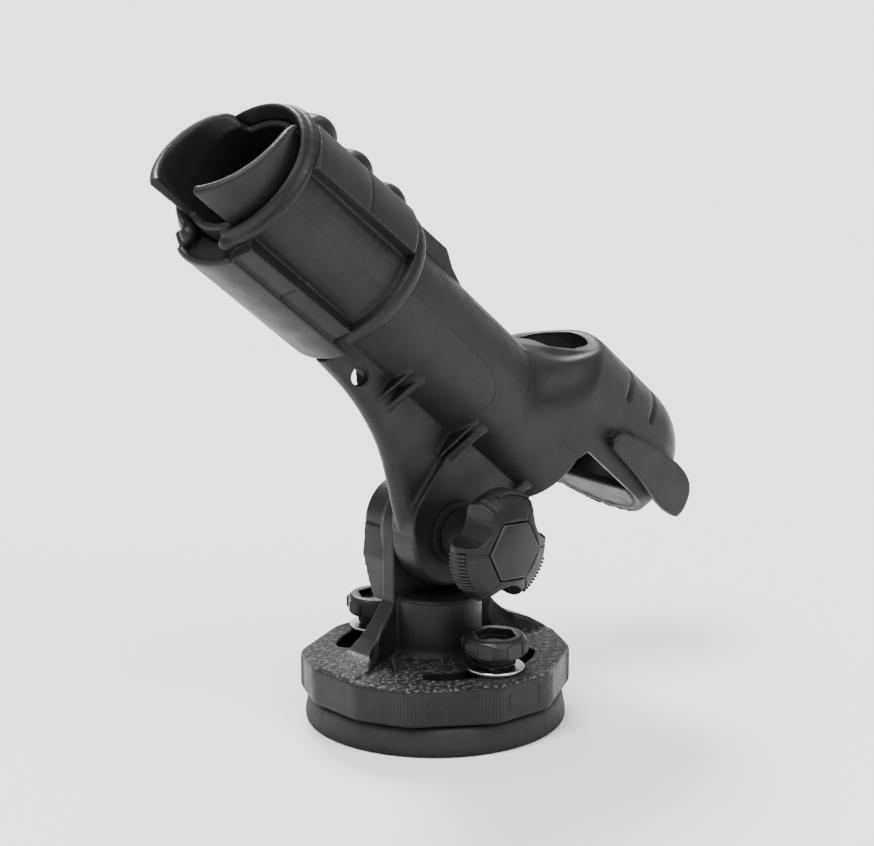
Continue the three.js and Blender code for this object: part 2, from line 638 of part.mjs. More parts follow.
/** The arm under the tube: pivot disc, thick neck and thinner web, as outlines of [up, along]. */
function arm() {
  const half = (ARM_FAR - WEB_NEAR) / 2;
  const beadLine = new THREE.CatmullRomCurve3([
    [-30, COLLAR_REAR - 1], [-31.4, 76], [-34.7, 60.2], [-39.8, 46.2], [-47.1, 33.8], [-54.9, 23],
    [-60.2, 14.5],
  ].map(([up, along]) => new THREE.Vector3(up, ARM_FAR - half, along)));
  const section = new THREE.Shape();
  section.absarc(0, 0, half, 0, 2 * Math.PI, false);
  const bead = solid(new THREE.ExtrudeGeometry(section, {
    steps: 14, bevelEnabled: false, curveSegments: 6, extrudePath: beadLine,
  }));
  const edge = beadLine.getPoints(14).map((point) => new THREE.Vector2(point.x, point.z));
  const web = new THREE.Shape([new THREE.Vector2(-18, COLLAR_REAR - 1), ...edge,
    new THREE.Vector2(-TUBE_OFFSET, 0), new THREE.Vector2(-24, -16), new THREE.Vector2(-18, -16)]);
  const neck = new THREE.Shape();
  neck.moveTo(-18, NECK_FRONT);
  neck.lineTo(-TUBE_OFFSET - 2, NECK_FRONT);
  neck.quadraticCurveTo(-TUBE_OFFSET - 10, NECK_FRONT - 2, -TUBE_OFFSET - 13, 16);
  neck.lineTo(-TUBE_OFFSET, 0);
  neck.lineTo(-TUBE_OFFSET + 8, -19.4);
  neck.lineTo(-27, NECK_REAR);
  neck.lineTo(-18, NECK_REAR);
  neck.closePath();
  const disc = moved(roundBar(PIVOT_RADIUS, ARM_NEAR + 0.8, ARM_FAR, { sides: 40 }),
    [-TUBE_OFFSET, 0, 0], [-90, 0, 0]);
  const face = moved(
    roundBar(PIVOT_RADIUS - 0.8, ARM_NEAR, ARM_NEAR + 1, { sides: 40 }), [-TUBE_OFFSET, 0, 0], [-90, 0, 0],
  );
  return join(plate(web, WEB_NEAR, ARM_FAR), bead, plate(neck, ARM_NEAR, ARM_FAR), disc, face);
}

/** A gusset between the arm and the tube's flank. A pocket, where it has one, splits it in two walls. */
function gusset({ foot, root, flank, from, to, pocket }) {
  const angle = radians(flank);
  const surface = TUBE_RADIUS - 0.5;
  const shape = new THREE.Shape([
    new THREE.Vector2(-foot, root),
    new THREE.Vector2(surface * Math.cos(angle), surface * Math.sin(angle)),
    new THREE.Vector2(-15, (WEB_NEAR + ARM_FAR) / 2),
  ]);
  const geometry = new THREE.ExtrudeGeometry(shape, { depth: to - from, bevelEnabled: false });
  geometry.translate(0, 0, from);
  const body = solid(geometry);
  if (!pocket) return body;
  const [back, front] = pocket;
  const slot = block([-60, -60, back], [0, 60, front]);
  const core = roundBar(TUBE_RADIUS, back - 1, front + 1, { sides: 32 });
  return cut(body, cut(slot, core));
}

function rodTube() {
  const near = [
    { foot: 35, root: WEB_NEAR + 1, flank: -125, from: 57, to: 65.6, pocket: [60, 64.4] },
    { foot: 34, root: ARM_NEAR + 1, flank: -115, from: 19.4, to: 26.4, pocket: [23.2, 25.4] },
    { foot: 28, root: ARM_NEAR + 1, flank: -135, from: -18.5, to: -14 },
  ];
  const far = near.map((one) => ({ ...one, root: ARM_FAR - 1, flank: -one.flank }));
  const stop = loft([[94.4, 30], [73, 30.6], [66, 26.6], [58, 24]].map(([along, rise]) => [
    new THREE.Vector3(20, -9, along), new THREE.Vector3(rise - 1, -9, along),
    new THREE.Vector3(rise, -7.6, along),
    new THREE.Vector3(rise, 7.6, along), new THREE.Vector3(rise - 1, 9, along),
    new THREE.Vector3(20, 9, along),
  ]));
  const bore = roundBar(BORE_RADIUS + 0.5, TUBE_REAR - 3, MOUTH_FLOOR - 5, { sides: 48 });
  const onTube = join(cut(join(hood(), arm(), stop, ...near.map(gusset), ...far.map(gusset)), bore),
    tubeWall());
  const acrossHole = (radius, from, to, up, along) => (
    moved(roundBar(radius, from, to, { sides: 20 }), [up, 0, along], [-90, 0, 0])
  );
  const tetherHole = acrossHole(TETHER_HOLE_RADIUS, -20, 20, TETHER_HOLE_UP, TETHER_HOLE_ALONG);
  const tetherRelief = [0, 2.6, 5.2, 7.8].map((back) => (
    acrossHole(TETHER_HOLE_RADIUS + 0.2, -5.5, 20, TETHER_HOLE_UP - 0.9, TETHER_HOLE_ALONG - back)
  ));
  const boltHole = moved(roundBar(BOLT_RADIUS + GAP, -20, 20, { sides: 24 }), [-TUBE_OFFSET, 0, 0],
    [-90, 0, 0]);
  const socket = socketBar(SOCKET_RADIUS, -32, 20);
  return join(cut(onTube, hoodRoom(), socket, tetherHole, ...tetherRelief, boltHole), wing(-1), wing(1));
}

addPart(tube, 'rod_tube', rodTube(), nylonBlack);

// ---- Twist-lock collar ----
/** A wedge of a ring about Z, between two radii, two angles and two levels. It leans down by drop. */
function ringWedge(inner, outer, from, to, z0, z1, drop = 0) {
  const shape = new THREE.Shape();
  shape.absarc(0, 0, outer, radians(from), radians(to), false);
  shape.absarc(0, 0, inner, radians(to), radians(from), true);
  shape.closePath();
  const geometry = new THREE.ExtrudeGeometry(shape, { depth: z1 - z0, bevelEnabled: false,
    curveSegments: 8 });
  const lean = new THREE.Matrix4().makeShear(0, 0, 0, 0, -drop / (z1 - z0), 0);
  geometry.applyMatrix4(lean);
  geometry.translate(0, 0, z0);
  return solid(geometry);
}

function lockCollar() {
  const front = COLLAR_FRONT;
  const rear = COLLAR_REAR;
  const padRear = rear + 8.5;
  const padFront = front - 7.2;
  const core = turned([
    [0, rear], [30, rear], [31.3, rear + 1.4], [31.6, rear + 4], [30.8, rear + 6.4],
    [PANEL_RADIUS, rear + 7.4],
    [PANEL_RADIUS, padFront], [30.8, padFront + 0.8], [31, front - 5.2], [30.6, front - 3.8],
    [29.3, front - 2.8],
    [29.1, front - 1.4], [28.4, front - 0.3], [27.6, front], [0, front],
  ], 44);
  const pads = [
    [PAD_RADIUS, 30, 69.5], [PAD_RADIUS, -69.5, -30],
    [PAD_RADIUS, 137, 153], [PAD_RADIUS, -153, -137],
  ].map(([outer, from, to]) => ringWedge(22, outer, from, to, padRear, padFront, PAD_DROP));
  const keel = ringWedge(22, PAD_RADIUS + 1.4, 151, 209, rear + 0.4, padFront, PAD_DROP);
  const knuckles = KNUCKLES.map((along) => {
    const barrel = turned([
      [0, -11], [4.4, -10.6], [7, -9.2], [8.4, -6.6], [8.8, -3.4], [8.8, 3.4], [8.4, 6.6], [7, 9.2],
      [4.4, 10.6], [0, 11],
    ], 20);
    return moved(barrel, [26.4, 0, along], [90, 0, 0]);
  });
  const bulbs = [-1, 1].map((side) => {
    const angle = radians(180 - side * 23);
    const bulb = new THREE.SphereGeometry(3.4, 12, 8);
    bulb.translate(29 * Math.cos(angle), 29 * Math.sin(angle), front - 5);
    return solid(bulb);
  });
  const notch = ringWedge(20, 45, 180 - 23, 180 + 23, front - 8.5, front + 1);
  const bore = turned([
    [0, rear - 1], [COLLAR_BORE + 2, rear - 1], [COLLAR_BORE, rear + 1], [COLLAR_BORE, front - 5],
    [COLLAR_BORE + 2.4, front + 1], [0, front + 1],
  ], 44);
  return cut(join(cut(join(core, ...pads, keel, ...knuckles), notch), ...bulbs), bore);
}

addPart(tube, 'lock_collar', lockCollar(), nylonBlack);

export default assembly;
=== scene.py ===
import math

import bpy
import numpy as np
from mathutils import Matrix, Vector


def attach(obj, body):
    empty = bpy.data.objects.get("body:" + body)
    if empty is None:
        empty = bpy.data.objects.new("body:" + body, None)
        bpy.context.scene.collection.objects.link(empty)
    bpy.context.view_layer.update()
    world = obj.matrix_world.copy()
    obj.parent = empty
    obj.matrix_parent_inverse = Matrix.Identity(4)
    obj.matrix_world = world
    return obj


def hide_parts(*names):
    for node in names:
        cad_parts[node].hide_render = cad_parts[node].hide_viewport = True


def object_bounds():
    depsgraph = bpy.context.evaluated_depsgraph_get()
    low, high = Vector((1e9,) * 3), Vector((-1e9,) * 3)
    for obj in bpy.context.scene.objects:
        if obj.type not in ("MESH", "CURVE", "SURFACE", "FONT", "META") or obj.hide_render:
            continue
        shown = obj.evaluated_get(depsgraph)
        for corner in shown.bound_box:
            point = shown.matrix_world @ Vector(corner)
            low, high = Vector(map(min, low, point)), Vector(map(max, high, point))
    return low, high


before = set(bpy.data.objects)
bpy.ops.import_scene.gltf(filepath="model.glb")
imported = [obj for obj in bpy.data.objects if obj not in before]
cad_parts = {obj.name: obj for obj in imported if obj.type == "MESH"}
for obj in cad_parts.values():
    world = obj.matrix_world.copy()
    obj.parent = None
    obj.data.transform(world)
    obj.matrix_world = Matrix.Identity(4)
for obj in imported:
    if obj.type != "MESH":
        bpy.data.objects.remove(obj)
cad_low, cad_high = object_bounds()
scene = bpy.context.scene

# Sizes below are in millimetres and are turned into metres when a mesh is written.
MM = 0.001
TILT = math.radians(41)
UP = np.array((math.sin(TILT), 0, math.cos(TILT)))
SIDE = np.array((0.0, 1.0, 0.0))
ALONG = np.array((-math.cos(TILT), 0, math.sin(TILT)))
PIVOT = np.array((0, 0, 76.2))
TUBE_OFFSET = 52             # from the pivot to the tube's axis
TUBE = PIVOT + TUBE_OFFSET * UP
TUBE_AXES = np.array((UP, SIDE, ALONG))
STUD_CIRCLE = 34.5


# ---- Frames of reference ----
def to_tube(points):
    """Points as (up from the tube's axis, sideways, along the tube)."""
    return (points - TUBE) @ TUBE_AXES.T


def from_tube(points):
    return TUBE + np.asarray(points, float) @ TUBE_AXES


def on_tube(radius, angle, along, drop=0.0):
    """A point at an angle in degrees from the tube's top; negative is the knob's side."""
    a = math.radians(angle)
    return from_tube((radius * math.cos(a) - drop, radius * math.sin(a), along))


def on_knob(radius, angle, depth):
    """A point at an angle in degrees about the tilt axis, and at a distance out along it."""
    a = math.radians(angle)
    return np.array((radius * math.cos(a), -depth, PIVOT[2] + radius * math.sin(a)))


def smooth_step(t):
    t = np.clip(t, 0, 1)
    return t * t * (3 - 2 * t)


# ---- Meshes ----
def read(mesh):
    flat = np.empty(len(mesh.vertices) * 3, np.float32)
    mesh.vertices.foreach_get("co", flat)
    return flat.reshape(-1, 3).astype(float) / MM


def write(mesh, points):
    """Stores the points in millimetres, kept inside the CAD model's box."""
    points = np.clip(points, np.array(cad_low) / MM, np.array(cad_high) / MM)
    mesh.vertices.foreach_set("co", (points * MM).astype(np.float32).ravel())
    mesh.update()


def normals(mesh):
    flat = np.empty(len(mesh.vertices) * 3, np.float32)
    mesh.vertex_normals.foreach_get("vector", flat)
    return flat.reshape(-1, 3).astype(float)


def apply_modifiers(piece):
    graph = bpy.context.evaluated_depsgraph_get()
    mesh = bpy.data.meshes.new_from_object(piece.evaluated_get(graph))
    piece.modifiers.clear()
    piece.data = mesh


def shade_smooth(mesh):
    mesh.polygons.foreach_set("use_smooth", [True] * len(mesh.polygons))
    mesh.update()


def dress(piece, material, body, slot, *nodes):
    """Gives a piece its material and body, and hides the CAD nodes that it stands for."""
    piece.data.materials.clear()
    piece.data.materials.append(material)
    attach(piece, body)
    if nodes:
        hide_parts(*nodes)


def welded_copy(node, name):
    """A new object with a copy of a CAD node's mesh, whose doubled points are to be welded."""
    piece = bpy.data.objects.new(name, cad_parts[node].data.copy())
    scene.collection.objects.link(piece)
    weld = piece.modifiers.new("weld", "WELD")
    weld.merge_threshold = 1e-6
    return piece


WEIGHT_LEVELS = 8
BLEND_ROUNDS = 30


def soften(piece, rounds, where=None):
    """Evens out a mesh, everywhere or by a weight for each point."""
    if where is not None:
        group = piece.vertex_groups.new(name="soft")
        weights = np.round(where(read(piece.data)) * WEIGHT_LEVELS).astype(int)
        for level in range(1, WEIGHT_LEVELS + 1):
            group.add(np.where(weights == level)[0].tolist(), level / WEIGHT_LEVELS, "REPLACE")
    smooth = piece.modifiers.new("smooth", "SMOOTH")
    smooth.factor = 0.5
    smooth.iterations = rounds
    if where is not None:
        smooth.vertex_group = "soft"
    apply_modifiers(piece)
    piece.vertex_groups.clear()


def moulding(node, name, material, body, slot, voxel, rounds, keep, shape=None, marks=(),
             bend=None, blend=None):
    """A moulded copy of a CAD solid: fine even faces, true round walls, softened edges and marks.

    The voxel is in millimetres, rounds is how often the edges are evened out, and keep is the
    share of the triangles that is left. The shape makes round walls true, the bend moves a stretch
    of the surface, and the blend weighs where it is smoothed after that."""
    piece = welded_copy(node, name)
    remesh = piece.modifiers.new("remesh", "REMESH")
    remesh.mode = "VOXEL"
    remesh.voxel_size = voxel * MM
    apply_modifiers(piece)
    for passes in (rounds, 1):
        if shape:
            write(piece.data, shape(read(piece.data)))
        soften(piece, passes)
    if bend:
        write(piece.data, bend(read(piece.data)))
    if blend:
        soften(piece, BLEND_ROUNDS, blend)
    for line, width, depth in marks:
        engrave(piece.data, line, width, depth)
    if marks:
        soften(piece, 1)
    fewer = piece.modifiers.new("fewer", "DECIMATE")
    fewer.ratio = keep
    apply_modifiers(piece)
    shade_smooth(piece.data)
    dress(piece, material, body, slot, node)


def engrave(mesh, line, width, depth):
    """Sinks a rounded groove along a line of points."""
    points = read(mesh)
    low, high = np.min(line, 0) - width, np.max(line, 0) + width
    near = np.where(np.all((points > low) & (points < high), axis=1))[0]
    if not len(near):
        return
    best = np.full(len(near), 1e9)
    for a, b in zip(line[:-1], line[1:]):
        step = b - a
        t = np.clip(((points[near] - a) @ step) / max(step @ step, 1e-9), 0, 1)
        best = np.minimum(best, np.linalg.norm(points[near] - (a + t[:, None] * step), axis=1))
    fall = depth * (1 - smooth_step(best / width))
    points[near] -= normals(mesh)[near] * fall[:, None]
    write(mesh, points)


def true_circle(a, b, sides):
    """How much to stretch a many-sided turning so that it becomes round."""
    step = 2 * math.pi / sides
    turn = np.mod(np.arctan2(b, a) + math.pi / 2, step) - step / 2
    return np.cos(turn) / math.cos(step / 2)


def pull(a, b, radius, reach, weight):
    """Moves points that are nearly on a round wall onto it, fading out at the reach."""
    r = np.maximum(np.hypot(a, b), 1)
    near = weight * (1 - smooth_step(2 * np.abs(r - radius) / reach - 1))
    k = 1 + near * (radius / r - 1)
    return a * k, b * k


# ---- True shapes of the large mouldings ----
TUBE_RADIUS, BORE_RADIUS = 24.8, 21.8
HOOD_RISE, HOOD_RADIUS, HOOD_REAR, HOOD_END = 18, 31, -84, 28
HOOD_FRONT, HOOD_SWELL = 18, 27     # where the hood begins, and over what length it swells
HOOD_WALL, ROOM_FRONT = 3.5, 2
HOOD_SUNK = 0.3                     # the hood begins this far inside the tube's wall
TUBE_FRONT, TUBE_REAR = 161, -24    # the stretch of the tube that is pulled round
ARM_END_RADIUS = 21


def hood_section(along, inset):
    """The hood's centre above the tube's axis, and its radius, at a place along the tube."""
    rise = smooth_step((HOOD_FRONT - along) / HOOD_SWELL)
    end = HOOD_END - inset
    into = np.clip((HOOD_REAR + inset + end - along) / end, 0, 1)
    full = TUBE_RADIUS - HOOD_SUNK + (HOOD_RADIUS - TUBE_RADIUS + HOOD_SUNK) * rise - inset
    return HOOD_RISE * rise, full * np.sqrt(np.maximum(1 - into ** 2.2, 1e-4))


def tube_shape(points):
    n, y, s = to_tube(points).T.copy()
    n, y = pull(n, y, TUBE_RADIUS, 0.2, (s < TUBE_FRONT) & (s > TUBE_REAR))
    n, y = pull(n, y, BORE_RADIUS, 0.2, (s < TUBE_FRONT - 1) & (s > TUBE_REAR))
    for inset, front, wall in ((0, HOOD_FRONT, TUBE_RADIUS), (HOOD_WALL, ROOM_FRONT, BORE_RADIUS)):
        centre, radius = hood_section(s, inset)
        r = np.maximum(np.hypot(n - centre, y), 1)
        clear = np.hypot(centre + (n - centre) * radius / r, y * radius / r) - wall
        weight = np.where(s < TUBE_REAR - 1, 1, smooth_step(clear / 0.8)) * smooth_step((front - s) / 4)
        weight = weight * smooth_step((s - HOOD_REAR - 1.5 - inset) / 3)
        m, y = pull(n - centre, y, radius, 1.3, weight)
        n = m + centre
    n = n + TUBE_OFFSET
    n, s = pull(n, s, ARM_END_RADIUS, 0.2, np.abs(n) < ARM_END_RADIUS + 1)
    return from_tube(np.stack((n - TUBE_OFFSET, y, s), 1))


SOCKET_UP, SOCKET_ALONG, SOCKET_RADIUS = 38.2, -3, 10.6
SOCKET_SQUARE = np.array((0.83, 1)) / math.hypot(0.83, 1)


def socket_frame(n, s):
    """Height above the socket's rim plane, and distance along that plane."""
    n, s = n - SOCKET_UP, s - SOCKET_ALONG
    return n * SOCKET_SQUARE[0] + s * SOCKET_SQUARE[1], s * SOCKET_SQUARE[0] - n * SOCKET_SQUARE[1]


def from_socket(above, level):
    return (SOCKET_UP + above * SOCKET_SQUARE[0] - level * SOCKET_SQUARE[1],
            SOCKET_ALONG + above * SOCKET_SQUARE[1] + level * SOCKET_SQUARE[0])


def round_socket_rim(points):
    """Lowers the flat rim round the upright socket towards its sides and rounds its outer edge."""
    n, y, s = to_tube(points).T.copy()
    above, level = socket_frame(n, s)
    level, y = pull(level, y, SOCKET_RADIUS, 0.9, smooth_step((above + 9) / 4))
    out = np.hypot(level, y)
    n, s = from_socket(above, level)
    near = np.exp(-(above / 3) ** 2) * smooth_step((n - 20) / 8) * (1 - smooth_step((out - 19) / 9))
    fall = near * (1.8 * smooth_step(np.abs(y) / 15) + 1.0 * smooth_step((out - 12.5) / 9))
    n, s = from_socket(above - fall, level)
    return from_tube(np.stack((n, y, s), 1))


def socket_blend(points):
    """Weighs where the flat rim round the socket runs out into the tube and the hood."""
    n, y, s = to_tube(points).T
    above, level = socket_frame(n, s)
    out = np.hypot(level, y)
    band = smooth_step((out - 13) / 4) * (1 - smooth_step((out - 30) / 8))
    return band * np.exp(-(above / 4) ** 2) * (n > 22)


COLLAR_SIDES, COLLAR_TURNED = 44, 31.8      # the collar is turned out to this radius
PAD_RADIUS, PAD_REAR, PAD_FRONT, PAD_DROP = 33.2, 103.5, 160.2, 2
KEEL_RADIUS, KEEL_REAR = 34.6, 95.4


def collar_shape(points):
    n, y, s = to_tube(points).T.copy()
    k = np.where(np.hypot(n, y) < COLLAR_TURNED, true_circle(n, y, COLLAR_SIDES), 1)
    n, y = n * k, y * k
    for radius, rear in ((PAD_RADIUS, PAD_REAR), (KEEL_RADIUS, KEEL_REAR)):
        drop = PAD_DROP * np.clip((s - rear) / (PAD_FRONT - rear), 0, 1)
        m, y = pull(n + drop, y, radius, 0.2, (s > rear + 1) & (s < 159.5))
        n = m - drop
    return from_tube(np.stack((n, y, s), 1))


COLUMN_SIDES = 40
BOSS_RADIUS, BOSS_BACK, BOSS_LENGTH = 17, 1.9, 21.1     # the boss narrows by 1 over its length
EAR_RADIUS = 20
RING_SEAT_RADIUS, RING_SEAT_TOP = 28.5, 13.35           # clear of the swivel ring
KNOB_SIDES, KNOB_FACE = 42, 45.1
DISC_SIDES, DISC_TURNED_FROM = 54, 45


def yoke_shape(points):
    """Makes the column, the bolt's boss and the ear's head round, and frees the ring's seat."""
    x, y, z = points.T.copy()
    column = (z > 27.5) & (z < 51.5) & (y < 1) & (np.hypot(x, y) < 21)
    k = np.where(column, true_circle(x, y, COLUMN_SIDES), 1)
    x, y = x * k, y * k
    v = z - PIVOT[2]
    x, v = pull(x, v, BOSS_RADIUS - (y - BOSS_BACK) / BOSS_LENGTH, 0.4, y > 10.3)
    x, v = pull(x, v, EAR_RADIUS, 0.3, (y > 1) & (y < 9) & (v > 0))
    z = v + PIVOT[2]
    radius = np.hypot(x, y)
    inside = (radius < RING_SEAT_RADIUS) & (z < RING_SEAT_TOP)
    outward = inside & (RING_SEAT_RADIUS - radius < RING_SEAT_TOP - z)
    k = np.where(outward, RING_SEAT_RADIUS / np.maximum(radius, 1), 1)
    z = np.where(inside & ~outward, RING_SEAT_TOP, z)
    return np.stack((x * k, y * k, z), 1)


def knob_shape(points):
    x, y, z = points.T.copy()
    u, v = x, z - PIVOT[2]
    k = np.where(y > -KNOB_FACE, true_circle(u, v, KNOB_SIDES), 1)
    return np.stack((u * k, y, v * k + PIVOT[2]), 1)


def disc_shape(points):
    x, y, z = points.T.copy()
    k = np.where(np.hypot(x, y) > DISC_TURNED_FROM, true_circle(x, y, DISC_SIDES), 1)
    return np.stack((x * k, y * k, z), 1)


# ---- Strokes: beads, ribs and turned rings gathered into one mesh ----
class Strokes:
    def __init__(self):
        self.points, self.faces = [], []

    def bead(self, line, radius, sides=10):
        """A round bead along a line, with domed ends."""
        line = [np.asarray(p, float) for p in line]
        # The ways out of both ends, along which the domes are made.
        first, last = line[0] - line[1], line[-1] - line[-2]
        first, last = first / np.linalg.norm(first), last / np.linalg.norm(last)
        rows = [(line[0] + first * radius * 0.9, 0.3), (line[0] + first * radius * 0.6, 0.75)]
        rows += [(p, 1) for p in line]
        rows += [(line[-1] + last * radius * 0.6, 0.75), (line[-1] + last * radius * 0.9, 0.3)]
        centres = np.array([row[0] for row in rows])
        ways = np.gradient(centres, axis=0)
        ways /= np.linalg.norm(ways, axis=1)[:, None]
        side = np.cross(ways[0], (0.31, 0.77, 0.55))
        start = len(self.points)
        for (centre, share), way in zip(rows, ways):
            side = side - way * (side @ way)
            side /= np.linalg.norm(side)
            other = np.cross(way, side)
            for k in range(sides):
                a = 2 * math.pi * k / sides
                self.points.append(centre + radius * share * (side * math.cos(a) + other * math.sin(a)))
        self.close(start, len(rows), sides)

    def close(self, start, rows, sides):
        for row in range(rows - 1):
            for k in range(sides):
                a, b = start + row * sides + k, start + row * sides + (k + 1) % sides
                self.faces.append((a, b, b + sides, a + sides))
        self.faces.append(tuple(start + k for k in reversed(range(sides))))
        self.faces.append(tuple(start + (rows - 1) * sides + k for k in range(sides)))

    def ring(self, centre, axis, section, sides=96):
        """A turned ring: section holds closed (radius, height) pairs."""
        axis = np.asarray(axis, float)
        u = np.cross(axis, (0.1, 0.2, 1.0) if abs(axis[2]) < 0.9 else (1.0, 0, 0))
        u /= np.linalg.norm(u)
        v = np.cross(axis, u)
        start, count = len(self.points), len(section)
        for k in range(sides):
            a = 2 * math.pi * k / sides
            way = u * math.cos(a) + v * math.sin(a)
            self.points += [np.asarray(centre) + way * r + axis * h for r, h in section]
        for k in range(sides):
            nxt = (k + 1) % sides
            for j in range(count):
                i = (j + 1) % count
                self.faces.append((start + k * count + j, start + nxt * count + j,
                                   start + nxt * count + i, start + k * count + i))

    def piece(self, name, material, body, slot, *nodes):
        mesh = bpy.data.meshes.new(name)
        mesh.from_pydata([tuple(p * MM) for p in self.points], [], self.faces)
        mesh.validate()
        write(mesh, read(mesh))
        shade_smooth(mesh)
        piece = bpy.data.objects.new(name, mesh)
        scene.collection.objects.link(piece)
        dress(piece, material, body, slot, *nodes)


def rounded(r0, r1, z0, z1, edge, steps=4):
    """A rectangle's section with rounded corners, as (radius, height) pairs."""
    section = []
    for cr, cz, start in ((r1 - edge, z0 + edge, -90), (r1 - edge, z1 - edge, 0),
                          (r0 + edge, z1 - edge, 90), (r0 + edge, z0 + edge, 180)):
        for k in range(steps + 1):
            a = math.radians(start + 90 * k / steps)
            section.append((cr + edge * math.cos(a), cz + edge * math.sin(a)))
    return section


# ---- Materials ----
def nodes_of(name):
    material = bpy.data.materials.new(name)
    material.use_nodes = True
    tree = material.node_tree
    shader = next(n for n in tree.nodes if n.type == "BSDF_PRINCIPLED")
    place = tree.nodes.new("ShaderNodeTexCoord")
    return material, tree, shader, place


def noise(tree, place, scale, detail=3.0, rough=0.55):
    node = tree.nodes.new("ShaderNodeTexNoise")
    node.inputs["Scale"].default_value = scale
    node.inputs["Detail"].default_value = detail
    node.inputs["Roughness"].default_value = rough
    tree.links.new(place.outputs["Object"], node.inputs["Vector"])
    return node.outputs["Fac"]


def ramp(tree, value, stops):
    node = tree.nodes.new("ShaderNodeValToRGB")
    elements = node.color_ramp.elements
    while len(elements) < len(stops):
        elements.new(0.5)
    for element, (at, tone) in zip(elements, stops):
        element.position = at
        element.color = (*tone, 1) if isinstance(tone, tuple) else (tone, tone, tone, 1)
    tree.links.new(value, node.inputs["Fac"])
    return node.outputs["Color"]


def bump(tree, shader, heights):
    """Stacks bumps: each is (height output, distance in metres, strength)."""
    before = None
    for height, distance, strength in heights:
        node = tree.nodes.new("ShaderNodeBump")
        node.inputs["Distance"].default_value = distance
        node.inputs["Strength"].default_value = strength
        tree.links.new(height, node.inputs["Height"])
        if before:
            tree.links.new(before, node.inputs["Normal"])
        before = node.outputs["Normal"]
    tree.links.new(before, shader.inputs["Normal"])


def mix(tree, factor, a, b):
    node = tree.nodes.new("ShaderNodeMix")
    node.data_type = "RGBA"
    tree.links.new(factor, node.inputs["Factor"])
    for value, socket in ((a, node.inputs[6]), (b, node.inputs[7])):
        if isinstance(value, tuple):
            socket.default_value = (*value, 1)
        else:
            tree.links.new(value, socket)
    return node.outputs[2]


def product(tree, a, b):
    node = tree.nodes.new("ShaderNodeMath")
    node.operation = "MULTIPLY"
    tree.links.new(a, node.inputs[0])
    tree.links.new(b, node.inputs[1])
    return node.outputs[0]


def scaled(tone, factor):
    return (tone * factor, tone * factor * 1.01, tone * factor * 1.05)


def nylon(name, tone, rough=(0.34, 0.52), grain=1.0, specular=0.25, top=None):
    """Moulded glass-filled nylon: mottled, finely grained, with painted shade in its corners and a
    painted highlight on its rubbed edges.

    Where top is given, the upward faces below that level in metres carry a coarse bumpy texture with
    painted glints."""
    material, tree, shader, place = nodes_of(name)
    mottle = ramp(tree, noise(tree, place, 55, 5, 0.62),
                  [(0.3, scaled(tone, 0.7)), (0.7, scaled(tone, 1.3))])
    specks = ramp(tree, noise(tree, place, 1500, 2, 0.6), [(0.6, 0.0), (0.74, 1.0)])
    colour = mix(tree, specks, mottle, scaled(tone, 2.2))
    heights = [
        (noise(tree, place, 70, 3, 0.5), 0.0004, 0.12),
        (noise(tree, place, 900, 3, 0.6), 0.00012, 0.35 * grain),
        (noise(tree, place, 2600, 2, 0.6), 0.00005, 0.4 * grain),
    ]
    if top:
        split = tree.nodes.new("ShaderNodeSeparateXYZ")
        tree.links.new(place.outputs["Object"], split.inputs["Vector"])
        low = ramp(tree, split.outputs["Z"], [(top, 1.0), (top + 0.0016, 0.0)])
        coarse = ramp(tree, noise(tree, place, 420, 5, 0.7), [(0.36, 0.0), (0.64, 1.0)])
        # Painted glints: bright specks, 36 times the tone, painted on the upward faces below the top
        # level.
        painted_glints = ramp(tree, noise(tree, place, 480, 5, 0.85), [(0.515, 0.0), (0.62, 1.0)])
        level = tree.nodes.new("ShaderNodeSeparateXYZ")
        facing = tree.nodes.new("ShaderNodeNewGeometry")
        tree.links.new(facing.outputs["Normal"], level.inputs["Vector"])
        flat = ramp(tree, level.outputs["Z"], [(0.3, 0.03), (0.9, 1.0)])
        where = product(tree, flat, low)
        colour = mix(tree, product(tree, painted_glints, where), colour, scaled(tone, 36))
        heights.append((product(tree, coarse, where), 0.0012, 0.9))
    geometry = tree.nodes.new("ShaderNodeNewGeometry")
    # Painted highlight along sharp edges found by pointiness, five times brighter, partly standing for
    # rubbing as well.
    wear_and_edge_highlight = ramp(tree, geometry.outputs["Pointiness"], [(0.52, 0.0), (0.64, 0.7)])
    colour = mix(tree, wear_and_edge_highlight, colour, scaled(tone, 5))
    # Painted shade: the colour is darkened to near black where occlusion finds corners, creases and
    # gaps between parts.
    occlusion = tree.nodes.new("ShaderNodeAmbientOcclusion")
    occlusion.samples = 8
    occlusion.inputs["Distance"].default_value = 0.022
    clear_of_painted_shade = ramp(tree, occlusion.outputs["AO"], [(0.35, 0.0), (0.97, 1.0)])
    colour = mix(tree, clear_of_painted_shade, scaled(tone, 0.18), colour)
    tree.links.new(colour, shader.inputs["Base Color"])
    shader.inputs["Specular IOR Level"].default_value = specular
    satin = ramp(tree, noise(tree, place, 120, 4, 0.6), [(0.3, rough[0]), (0.7, rough[1])])
    sheltered = ramp(tree, occlusion.outputs["AO"], [(0.2, 0.0), (0.9, 1.0)])
    tree.links.new(mix(tree, sheltered, (0.95, 0.95, 0.95), satin), shader.inputs["Roughness"])
    bump(tree, shader, heights)
    return material


def steel(name, tone=(0.62, 0.63, 0.65), rough=(0.14, 0.3)):
    material, tree, shader, place = nodes_of(name)
    colour = ramp(tree, noise(tree, place, 160, 4, 0.6), [
        (0.3, tuple(t * 0.86 for t in tone)), (0.7, tuple(min(1.0, t * 1.1) for t in tone))])
    tree.links.new(colour, shader.inputs["Base Color"])
    tree.links.new(ramp(tree, noise(tree, place, 900, 4, 0.7), [(0.3, rough[0]), (0.7, rough[1])]),
                   shader.inputs["Roughness"])
    shader.inputs["Metallic"].default_value = 1.0
    bump(tree, shader, [(noise(tree, place, 1800, 3, 0.7), 0.00002, 0.3)])
    return material


